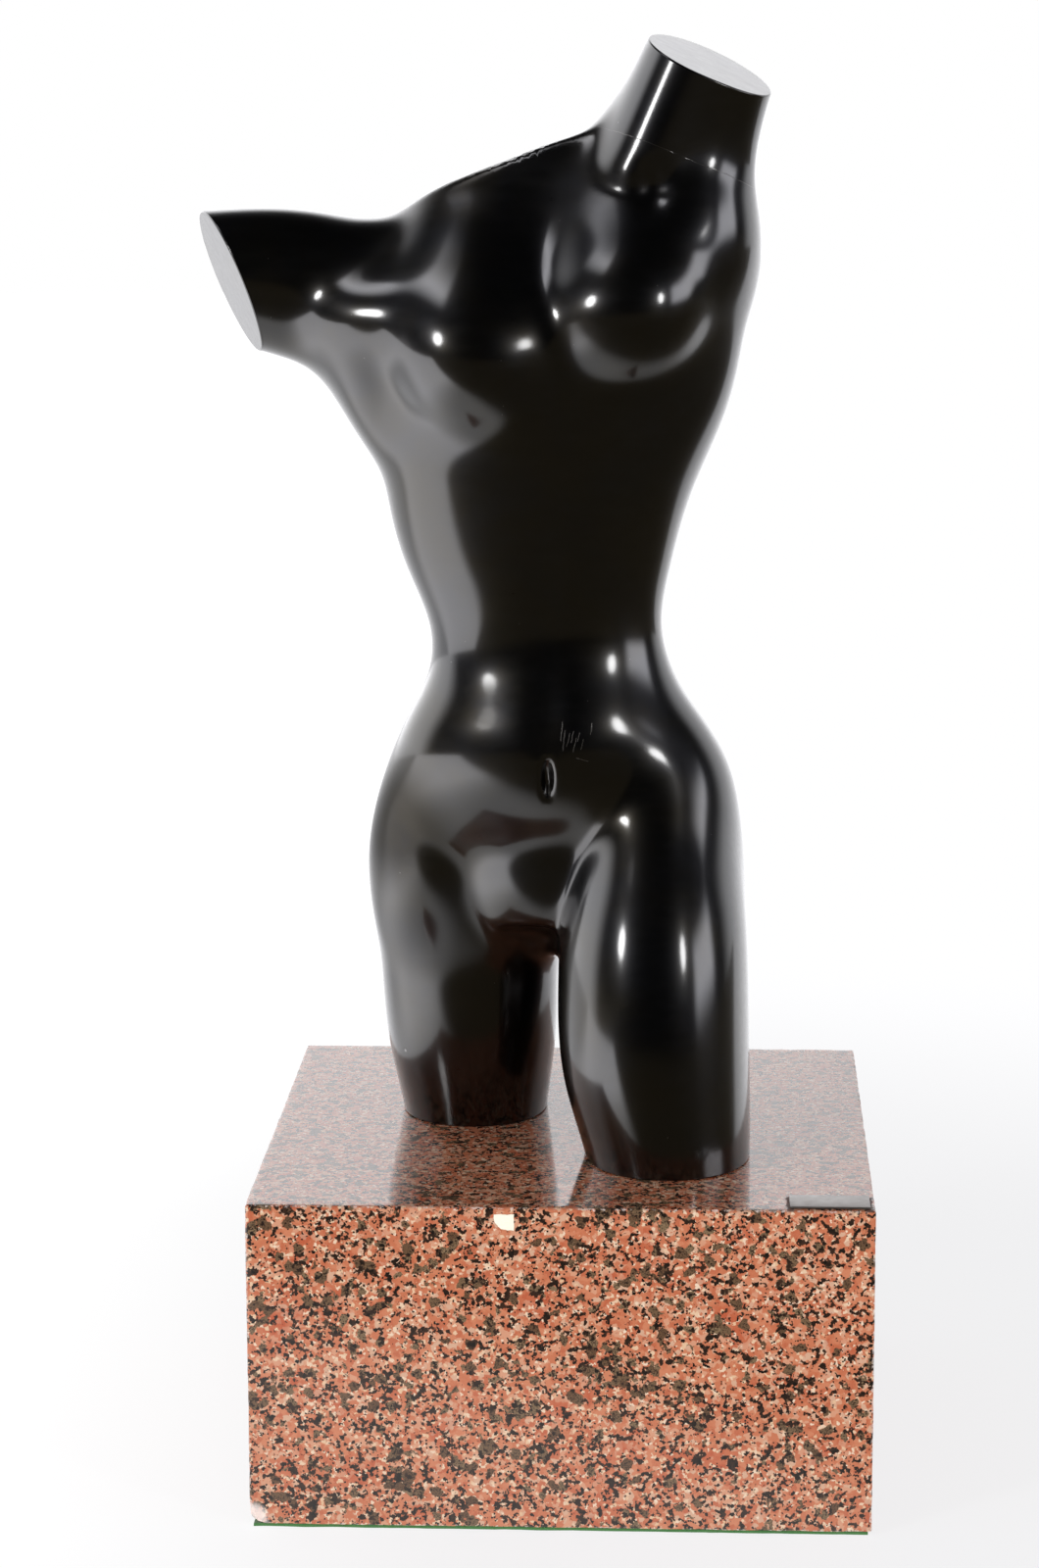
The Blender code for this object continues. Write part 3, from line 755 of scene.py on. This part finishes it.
def run_stump_on(bm, centre, normal, way):
    """Lengthens the limb past its flat cut, so that its skin can be remade and cut again."""
    centre, normal = Vector(centre), Vector(normal).normalized()
    end = []
    for face in bm.faces:
        corners = [v.co - centre for v in face.verts]
        if all(abs(c.dot(normal)) < ON_CUT and c.length < 2 * CUT_REACH for c in corners):
            end.append(face)
    made = bmesh.ops.extrude_face_region(bm, geom=end)
    tips = [v for v in made["geom"] if isinstance(v, bmesh.types.BMVert)]
    bmesh.ops.translate(bm, verts=tips, vec=Vector(way).normalized() * STUMP)
    bmesh.ops.delete(bm, geom=[f for f in end if f.is_valid], context="FACES_ONLY")


def cut_flat(bm, form, centre, normal, rim_radius):
    """Saws a stump off, carries its skin over a rounded rim, and closes it with a flat end."""
    centre, normal = Vector(centre), Vector(normal).normalized()
    reach = CUT_REACH if centre.length else 10 * CUT_REACH
    faces = [f for f in bm.faces if (f.calc_center_median() - centre).length < reach]
    edges = {e for f in faces for e in f.edges}
    verts = {v for f in faces for v in f.verts}
    cut = bmesh.ops.bisect_plane(
        bm,
        geom=[*verts, *edges, *faces],
        dist=0.05,
        plane_co=centre - normal * rim_radius,
        plane_no=normal,
        clear_outer=True,
    )
    rim = [e for e in cut["geom_cut"] if isinstance(e, bmesh.types.BMEdge)]
    normals = {}
    for step in range(1, RIM_STEPS + 1):
        before, after = (np.pi / 2 * k / RIM_STEPS for k in (step - 1, step))
        made = bmesh.ops.extrude_edge_only(bm, edges=rim)["geom"]
        rim = [e for e in made if isinstance(e, bmesh.types.BMEdge)]
        ring = [v for v in made if isinstance(v, bmesh.types.BMVert)]
        ring_set = set(ring)
        rim = [e for e in rim if e.verts[0] in ring_set and e.verts[1] in ring_set]
        outward = slope_of(form, np.array([v.co for v in ring]), 0.05)
        for vertex, slope in zip(ring, outward):
            out = Vector(slope)
            out = (out - normal * out.dot(normal)).normalized()
            vertex.co += normal * rim_radius * (np.sin(after) - np.sin(before))
            vertex.co += out * rim_radius * (np.cos(after) - np.cos(before))
            normals[vertex] = (out * np.cos(after) + normal * np.sin(after)).normalized()
    bmesh.ops.edgeloop_fill(bm, edges=rim)
    return normals


bm = bmesh.new()
bm.from_mesh(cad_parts["torso"].data)
bmesh.ops.remove_doubles(bm, verts=bm.verts[:], dist=0.00001)
to_table = Matrix.Scale(1 / MM, 4) @ Matrix.Translation((0, 0, -FIGURE_BASE))
bmesh.ops.transform(bm, matrix=to_table, verts=bm.verts[:])
for centre, normal, way, _ in CUTS:
    run_stump_on(bm, centre, normal, way)
bmesh.ops.recalc_face_normals(bm, faces=bm.faces[:])
rough = bpy.data.meshes.new("rough_skin")
bm.to_mesh(rough)
bm.free()
rough_skin = bpy.data.objects.new("rough_skin", rough)
scene.collection.objects.link(rough_skin)
remesh = rough_skin.modifiers.new("fine_skin", "REMESH")
remesh.mode = "VOXEL"
remesh.voxel_size = SKIN_STEP
graph = bpy.context.evaluated_depsgraph_get()
fine_skin = bpy.data.meshes.new_from_object(rough_skin.evaluated_get(graph))
bpy.data.objects.remove(rough_skin)

bm = bmesh.new()
bm.from_mesh(fine_skin)
settle(bm, hand_finished, SKIN_STEP, SKIN_ROUNDS)
for spot, reach in FINE_PLACES:
    near = [e for e in bm.edges if (sum((v.co for v in e.verts), Vector()) / 2 - Vector(spot)).length < reach]
    bmesh.ops.subdivide_edges(bm, edges=near, cuts=1, use_grid_fill=True)
settle(bm, hand_finished, SKIN_STEP / 2, FINE_ROUNDS)
rim_normals = {}
for centre, normal, _, rim_radius in CUTS:
    rim_normals.update(cut_flat(bm, hand_finished, centre, normal, rim_radius))
bmesh.ops.recalc_face_normals(bm, faces=bm.faces[:])
bm.verts.index_update()
rim_normals = {v.index: tuple(n) for v, n in rim_normals.items()}
skin_points = np.array([v.co for v in bm.verts])
skin_normals = slope_of(hand_finished, skin_points, 0.05)
skin_normals /= np.linalg.norm(skin_normals, axis=1)[:, None]
for index, normal in rim_normals.items():
    skin_normals[index] = normal
bmesh.ops.transform(bm, matrix=to_table.inverted(), verts=bm.verts[:])

bronze, tree, shader, place = new_material("black patinated bronze")
skin = vector_math(tree, "ADD", place, (0.0, 0.0, -1000 * FIGURE_BASE))

# Scratches beside the navel, each from (x, z) to (x, z) on the belly. They are strokes, not letters.
STROKES = (
    ((-2.5, 289.0), (-3.2, 277.0)),
    ((-0.8, 284.0), (-1.9, 271.0)),
    ((2.4, 282.0), (0.6, 273.5)),
    ((4.9, 283.5), (3.3, 276.0)),
    ((6.6, 279.0), (4.9, 270.5)),
    ((9.2, 282.5), (7.6, 277.0)),
    ((11.4, 278.0), (9.9, 272.0)),
    ((16.8, 288.0), (16.0, 281.0)),
    ((7.0, 266.0), (14.5, 263.8)),
)

# The orange speck and the pale pit, each a place and a radius, the seam's place and normal across the
# neck's foot, and the patches of duller gloss, each a centre, a reach and the share of gloss lost.
SPECKS = (((-23.9, -50.0, 581.1), 0.9),)
PITS = (((-112.3, -5.5, 50.4), 1.5),)
NECK_SEAM = ((76.3, -41.7, 651.0), (0.36, 0.10, 0.93))
DULL_PATCHES = (
    ((24, -50, 612), 44, 0.6),
    ((-71, -20, 628), 48, 0.9),
    ((-51, -62, 296), 30, 0.9),
    ((-116, -26, 214), 60, 0.8),
)


def spots_mask(tree, vector, spots):
    """1 within any of the spots, each a place and a radius."""
    mask = None
    for centre, radius in spots:
        away = vector_math(tree, "DISTANCE", vector, centre, output="Value")
        spot = band(tree, away, radius, 0.6 * radius)
        mask = spot if mask is None else math(tree, "MAXIMUM", mask, spot)
    return mask


def strokes_mask(tree, vector, strokes, width):
    """1 along any of the straight strokes drawn on the figure's front."""
    mask = None
    for (x0, z0), (x1, z1) in strokes:
        line = Vector((x1 - x0, 0, z1 - z0))
        flat = vector_math(tree, "MULTIPLY", vector, (1.0, 0.0, 1.0))
        off = vector_math(tree, "SUBTRACT", flat, (x0, 0.0, z0))
        share = vector_math(tree, "DOT_PRODUCT", off, line / line.length_squared, output="Value")
        share = add_node(tree, "ShaderNodeClamp", {"Value": share}).outputs[0]
        foot = vector_math(tree, "SCALE", tuple(line), Scale=share)
        away = vector_math(tree, "DISTANCE", off, foot, output="Value")
        stroke = band(tree, away, width, 0.4 * width)
        mask = stroke if mask is None else math(tree, "MAXIMUM", mask, stroke)
    return mask


ragged = warped(tree, skin, 1.2, 1.4)
pits = spots_mask(tree, ragged, PITS)
specks = spots_mask(tree, ragged, SPECKS)
depth = add_node(tree, "ShaderNodeSeparateXYZ", {"Vector": skin}).outputs["Y"]
belly_side = math(tree, "LESS_THAN", depth, -55.0)
strokes = math(tree, "MULTIPLY", strokes_mask(tree, warped(tree, skin, 5.0, 1.6), STROKES, 0.30), belly_side)
seam_normal = Vector(NECK_SEAM[1]).normalized()
seam_at = vector_math(tree, "DOT_PRODUCT", warped(tree, skin, 18.0, 2.0), tuple(seam_normal), output="Value")
seam_gap = math(tree, "SUBTRACT", seam_at, Vector(NECK_SEAM[0]).dot(seam_normal))
seam = band(tree, math(tree, "ABSOLUTE", seam_gap), 0.32, 0.08)
seam_faint = noise_at(tree, skin, 22.0, 2.0).outputs["Fac"]
seam = math(tree, "MULTIPLY", seam, band(tree, seam_faint, 0.35, 0.6))
dust, _, dust_reach = crystals(tree, skin, 9.0, 5.0)
dust = math(tree, "MULTIPLY", math(tree, "LESS_THAN", dust, 0.16), band(tree, dust_reach, 0.045, 0.02))

patina_drift = noise_at(tree, skin, 70.0, 4.0, 0.55).outputs["Fac"]
patina = mix(tree, band(tree, patina_drift, 0.35, 0.7), (0.020, 0.020, 0.022), (0.024, 0.021, 0.016))
patina = mix(tree, math(tree, "MULTIPLY", dust, 0.25), patina, (0.5, 0.5, 0.48))
patina = mix(tree, math(tree, "MULTIPLY", strokes, 0.3), patina, (0.30, 0.28, 0.25))
patina = mix(tree, math(tree, "MULTIPLY", seam, 0.4), patina, (0.20, 0.19, 0.18))
patina = mix(tree, math(tree, "MULTIPLY", pits, 0.75), patina, (0.40, 0.40, 0.40))
patina = mix(tree, specks, patina, (0.50, 0.16, 0.03))
rubbing = {"Vector": skin, "Rotation": (0.4, 0.3, 0.7), "Scale": (0.25, 1.0, 1.0)}
rubbing = add_node(tree, "ShaderNodeMapping", rubbing).outputs["Vector"]
rubbed = noise_at(tree, rubbing, 6.0, 5.0, 0.65).outputs["Fac"]
haze = between(tree, rubbed, 0.22, 0.42)
marks = fold(tree, "MAXIMUM", pits, specks, strokes)
gloss = math(tree, "MULTIPLY", marks, 0.85)
for centre, reach, share in DULL_PATCHES:
    away = vector_math(tree, "DISTANCE", skin, centre, output="Value")
    gloss = math(tree, "MAXIMUM", gloss, math(tree, "MULTIPLY", band(tree, away, reach, 0.3 * reach), share))
gloss = math(tree, "SUBTRACT", 1.0, gloss)
sunk = math(tree, "MAXIMUM", marks, math(tree, "MULTIPLY", seam, 0.6))
sunk = math(tree, "MULTIPLY", sunk, -1.0)
surface = bump(tree, math(tree, "ADD", sunk, math(tree, "MULTIPLY", rubbed, 0.02)), 0.0001)
connect(tree, shader, Base_Color=patina, Roughness=haze, Coat_Weight=gloss)
connect(tree, shader, Normal=surface, Coat_Normal=surface)
shader.inputs["Metallic"].default_value = 1.0
shader.inputs["Coat IOR"].default_value = 1.6
shader.inputs["Coat Roughness"].default_value = 0.13

torso = finish_piece("bronze_torso", bm, bronze, "torso", smooth=180.0)
torso.data.normals_split_custom_set_from_vertices([tuple(n) for n in skin_normals])

# Studio
# A floor of white paper before a white backdrop that runs on to the left. The floor glows with painted light,
# brighter towards the left, and to all but the camera it shows the dark room beyond its front edge. The room
# in front is dark, with two soft oval lamps and two dim panels, one high on the left and one low on the
# right.
# The bronze mirrors these, while a fill of its own lights what isn't glossy.

# Each lamp's name, azimuth, elevation, distance, size and radiance.
LAMPS = (
    ("left_lamp", -42.0, 22.0, 2.25, (0.36, 0.48), 26.0),
    ("right_lamp", 43.0, 18.0, 2.25, (0.28, 0.48), 20.0),
)
LAMP_TARGET = (0.0, -0.03, 0.62)
FLOOR_RADIUS = 12.0

# Each panel's bearings in radians, heights as the sine of its elevation, softness and colour.
PANELS = (
    ((-1.42, -0.66), (0.70, 0.98), 0.15, (4.4, 4.4, 4.6)),
    ((0.95, 1.66), (0.00, 0.48), 0.17, (3.7, 3.7, 3.9)),
)

# The backdrop's glow, the fill for diffuse light, the dark room, and the painted light that the paper floor
# glows with where the bronze mirrors it, with the places in millimetres where that painted glow starts and
# ends.
BACK_LEFT = (2.3, 2.3, 2.35)
BACK_RIGHT = (1.10, 1.10, 1.13)
BACKDROP_TOP = (0.80, 0.50)
FILL_LEFT = (2.10, 2.10, 2.11)
FILL_RIGHT = (1.50, 1.50, 1.52)
FILL_BEHIND = (0.80, 0.80, 0.81)
FILL_ABOVE = (0.16, 0.16, 0.16)
FRONT_ROOM = (0.085, 0.070, 0.045)
DARK_ROOM = (0.012, 0.012, 0.013)
PAINTED_PAPER_NEAR = (0.95, 0.94, 0.93)
PAINTED_PAPER_LEFT = (2.8, 2.78, 2.85)
PAINTED_PAPER_BACK = (1.15, 1.15, 1.18)
PAPER_EDGE = (-620.0, -300.0)
PAPER_SLANT = 0.8
LEFT_GLOW = (-300.0, -1000.0)
PAINTED_FLOOR_FILL = (1.45, 1.45, 1.45)
BACK_GLOW = (0.0, 600.0)

paper_white_and_painted_glow, tree, shader, place = new_material("white paper floor and painted glow")
fibre = noise_at(tree, place, 60.0, 3.0).outputs["Fac"]
connect(tree, shader, Base_Color=mix(tree, fibre, (0.86, 0.86, 0.87), (0.89, 0.89, 0.90)))
shader.inputs["Roughness"].default_value = 0.7
shader.inputs["Specular IOR Level"].default_value = 0.2
flat = vector_math(tree, "MULTIPLY", place, (1.0, 1.0, 0.0))
away = vector_math(tree, "LENGTH", flat, output="Value")
across, nearness, _ = add_node(tree, "ShaderNodeSeparateXYZ", {"Vector": place}).outputs
# Painted light: the camera sees the paper mostly as a painted glow, brighter towards the left, and wholly as
# glow far off.
glow = mix(tree, band(tree, across, 0.0, -500.0), (1.0, 1.0, 1.01), (1.18, 1.18, 1.18))
glow = add_node(tree, "ShaderNodeEmission", {"Color": glow}).outputs[0]
painted_glow_share = between(tree, band(tree, away, 500.0, 1400.0), 0.80, 1.0)
seen = add_node(tree, "ShaderNodeMixShader", {0: painted_glow_share, 1: shader.outputs[0], 2: glow})
# Painted light for all other rays: the paper glows, brighter at the back and much brighter on the left, and
# beyond its slanted front edge it shows the dark front room instead.
painted_left_light = math(tree, "MULTIPLY", band(tree, across, *LEFT_GLOW), band(tree, nearness, 500.0, -100.0))
slant = math(tree, "SUBTRACT", nearness, math(tree, "MULTIPLY", across, PAPER_SLANT))
painted_paper_light = mix(tree, band(tree, nearness, *BACK_GLOW), PAINTED_PAPER_NEAR, PAINTED_PAPER_BACK)
painted_paper_light = mix(tree, band(tree, slant, *PAPER_EDGE), FRONT_ROOM, mix(tree, painted_left_light, painted_paper_light, PAINTED_PAPER_LEFT))
ray = add_node(tree, "ShaderNodeLightPath").outputs
# Painted fill light: diffuse rays find the paper in front glowing brighter still.
in_front = math(tree, "MULTIPLY", ray["Is Diffuse Ray"], band(tree, nearness, 0.0, -300.0))
painted_paper_light = mix(tree, in_front, painted_paper_light, PAINTED_FLOOR_FILL)
painted_floor_light = add_node(tree, "ShaderNodeEmission", {"Color": painted_paper_light}).outputs[0]
paper = add_node(tree, "ShaderNodeMixShader", {0: ray["Is Camera Ray"], 1: painted_floor_light, 2: seen.outputs[0]})
tree.links.new(paper.outputs[0], tree.nodes["Material Output"].inputs["Surface"])

bm = bmesh.new()
bmesh.ops.create_circle(bm, cap_ends=True, segments=96, radius=FLOOR_RADIUS)
floor_mesh = bpy.data.meshes.new("floor")
bm.to_mesh(floor_mesh)
bm.free()
floor_mesh.materials.append(paper_white_and_painted_glow)
floor = bpy.data.objects.new("floor", floor_mesh)
scene.collection.objects.link(floor)
floor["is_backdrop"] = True

for name, azimuth, elevation, distance, size, radiance in LAMPS:
    a, e = np.radians(azimuth), np.radians(elevation)
    toward = Vector((np.sin(a) * np.cos(e), -np.cos(a) * np.cos(e), np.sin(e)))
    light = bpy.data.lights.new(name, "AREA")
    light.shape = "ELLIPSE"
    light.size, light.size_y = size
    light.energy = radiance * np.pi * (np.pi / 4) * size[0] * size[1]
    lamp = bpy.data.objects.new(name, light)
    lamp.location = Vector(LAMP_TARGET) + toward * distance
    lamp.rotation_euler = toward.to_track_quat("Z", "Y").to_euler()
    scene.collection.objects.link(lamp)

world = bpy.data.worlds.new("white room")
scene.world = world
world.use_nodes = True
tree = world.node_tree
direction = add_node(tree, "ShaderNodeTexCoord").outputs["Generated"]
aim = add_node(tree, "ShaderNodeSeparateXYZ", {"Vector": direction})
east, north, height = aim.outputs
bearing = math(tree, "ARCTAN2", east, math(tree, "MULTIPLY", north, -1.0))


def panel(tree, bearing, height, bearings, heights, soft):
    """1 inside a panel that spans the bearings in radians and the heights, with soft edges."""
    low_b, high_b = bearings
    low_h, high_h = heights
    return fold(
        tree,
        "MULTIPLY",
        band(tree, bearing, low_b, low_b + soft),
        band(tree, bearing, high_b, high_b - soft),
        band(tree, height, low_h, low_h + soft),
        band(tree, height, high_h, high_h - soft),
    )


room = mix(tree, band(tree, height, 0.06, -0.08), DARK_ROOM, FRONT_ROOM)
for bearings, heights, soft, colour in PANELS:
    room = mix(tree, panel(tree, bearing, height, bearings, heights, soft), room, colour)
backdrop = mix(tree, band(tree, east, 0.7, -0.7), BACK_RIGHT, BACK_LEFT)
turned = math(tree, "SUBTRACT", north, math(tree, "MULTIPLY", east, 0.30))
behind = math(tree, "MULTIPLY", band(tree, turned, -0.05, 0.32), band(tree, height, *BACKDROP_TOP))
room = mix(tree, behind, room, backdrop)
ray = add_node(tree, "ShaderNodeLightPath").outputs
fill = mix(tree, band(tree, east, 0.7, -0.7), FILL_RIGHT, FILL_LEFT)
fill = mix(tree, band(tree, north, -0.1, 0.5), fill, FILL_BEHIND)
fill = mix(tree, band(tree, height, 0.08, 0.55), fill, FILL_ABOVE)
room = mix(tree, ray["Is Diffuse Ray"], room, fill)
room = mix(tree, ray["Is Camera Ray"], room, (1.0, 1.0, 1.0))
background = tree.nodes["Background"]
tree.links.new(room, background.inputs["Color"])

low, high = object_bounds()
